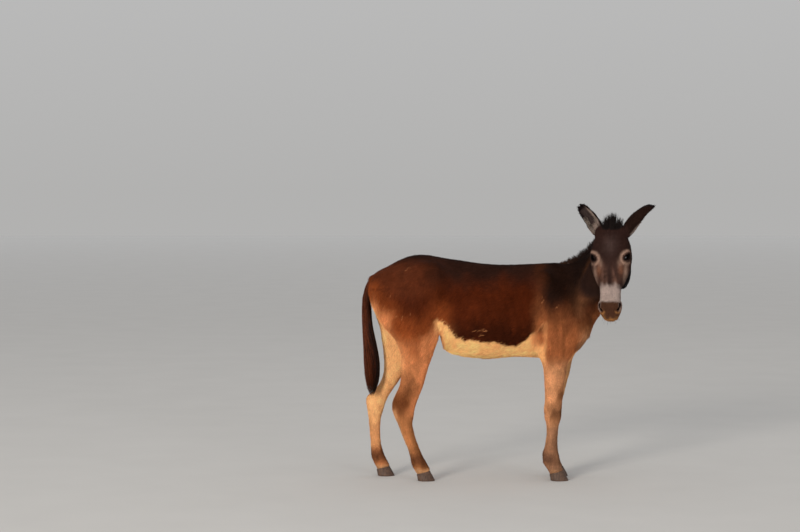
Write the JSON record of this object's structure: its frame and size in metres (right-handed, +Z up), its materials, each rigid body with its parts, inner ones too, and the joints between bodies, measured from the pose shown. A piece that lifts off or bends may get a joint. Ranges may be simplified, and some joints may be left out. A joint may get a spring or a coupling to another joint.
{
  "type": "donkey",
  "caption": "Life-size still model of a standing donkey with its head turned to its right, short brown coat, cream belly, upright mane and tufted tail",
  "frame": {"origin": "on the floor, under the middle of the model's outline seen from above", "axes": "+X forward along the trunk, +Y to the donkey's left, +Z up"},
  "size_m": [1.5963, 0.7105, 1.5224],
  "materials": {
    "coat_body": "short flat coat, dark brown barrel and back, pale cream belly",
    "coat_neck": "short dark brown coat, paler low on the chest side",
    "coat_head": "short dark brown coat, pale eye rings and a white band over a grey-brown muzzle",
    "coat_ear": "dark brown outside, greyish hair inside",
    "coat_leg": "short tan coat, browner at the knee, hock and fetlock",
    "mane_hair": "stiff upright blackish-brown hair",
    "tail_hair": "blackish hair with a redder rear edge",
    "eye": "wet, near black",
    "horn": "dull pale tan horn"
  },
  "bodies": {
    "root": {"trunk": "coat_body", "neck": "coat_neck", "head": "coat_head", "ear_left": "coat_ear", "ear_right": "coat_ear", "foreleg_left": "coat_leg", "foreleg_right": "coat_leg", "hindleg_left": "coat_leg", "hindleg_right": "coat_leg", "mane": "mane_hair", "forelock": "mane_hair", "tail": "tail_hair", "eye_left": "eye", "eye_right": "eye", "hoof_fore_left": "horn", "hoof_fore_right": "horn", "hoof_hind_left": "horn", "hoof_hind_right": "horn"}
  },
  "joints": []
}
